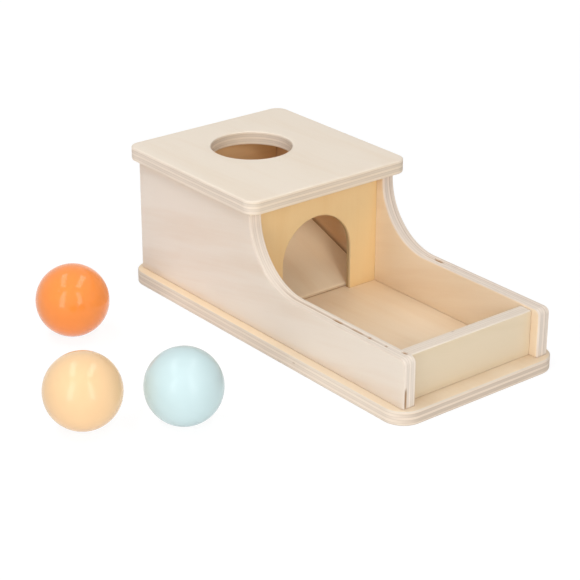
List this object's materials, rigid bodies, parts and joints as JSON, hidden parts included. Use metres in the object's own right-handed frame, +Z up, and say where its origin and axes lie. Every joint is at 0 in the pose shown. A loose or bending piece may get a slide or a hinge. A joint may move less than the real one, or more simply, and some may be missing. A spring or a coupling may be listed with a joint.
{
  "type": "object permanence box",
  "caption": "Plywood baby toy: a ball dropped in the lid's round port rolls down a hidden ramp and out of an arched doorway into a tray.",
  "frame": {"origin": "middle of the underside of the base board", "axes": "+X along the box from the lidded end towards the tray, +Y across the box to the side away from the balls, +Z up"},
  "size_m": [0.266, 0.2825, 0.093],
  "materials": {
    "pale_ply": "pale plywood under a thin clear satin lacquer",
    "golden_ply": "golden plywood under a thin clear satin lacquer",
    "thin_ply": "thin sanded plywood",
    "pine": "planed softwood",
    "beech": "turned hardwood dowel",
    "zinc_steel": "bright zinc plate",
    "orange_paint": "turned wood in orange gloss paint",
    "peach_paint": "turned wood in peach gloss paint",
    "mint_paint": "turned wood in pale mint gloss paint"
  },
  "bodies": {
    "box": {"base_board": "pale_ply", "left_side": "pale_ply", "right_side": "pale_ply", "back_wall": "pale_ply", "doorway_wall": "golden_ply", "lid": "pale_ply", "ramp": "thin_ply", "ramp_cleat": "pine", "front_rail": "golden_ply", "base_screws": "zinc_steel", "lid_dowels": "beech", "back_dowels": "beech", "rail_dowels": "beech"},
    "orange_ball": {"ball_orange": "orange_paint"},
    "peach_ball": {"ball_peach": "peach_paint"},
    "mint_ball": {"ball_mint": "mint_paint"}
  },
  "joints": [
    {"name": "orange_ball_lift", "type": "slide", "parent": "box", "child": "orange_ball", "axis": [0, 0, 1], "range_m": [0, 0.16]},
    {"name": "peach_ball_lift", "type": "slide", "parent": "box", "child": "peach_ball", "axis": [0, 0, 1], "range_m": [0, 0.16]},
    {"name": "mint_ball_lift", "type": "slide", "parent": "box", "child": "mint_ball", "axis": [0, 0, 1], "range_m": [0, 0.16]}
  ]
}
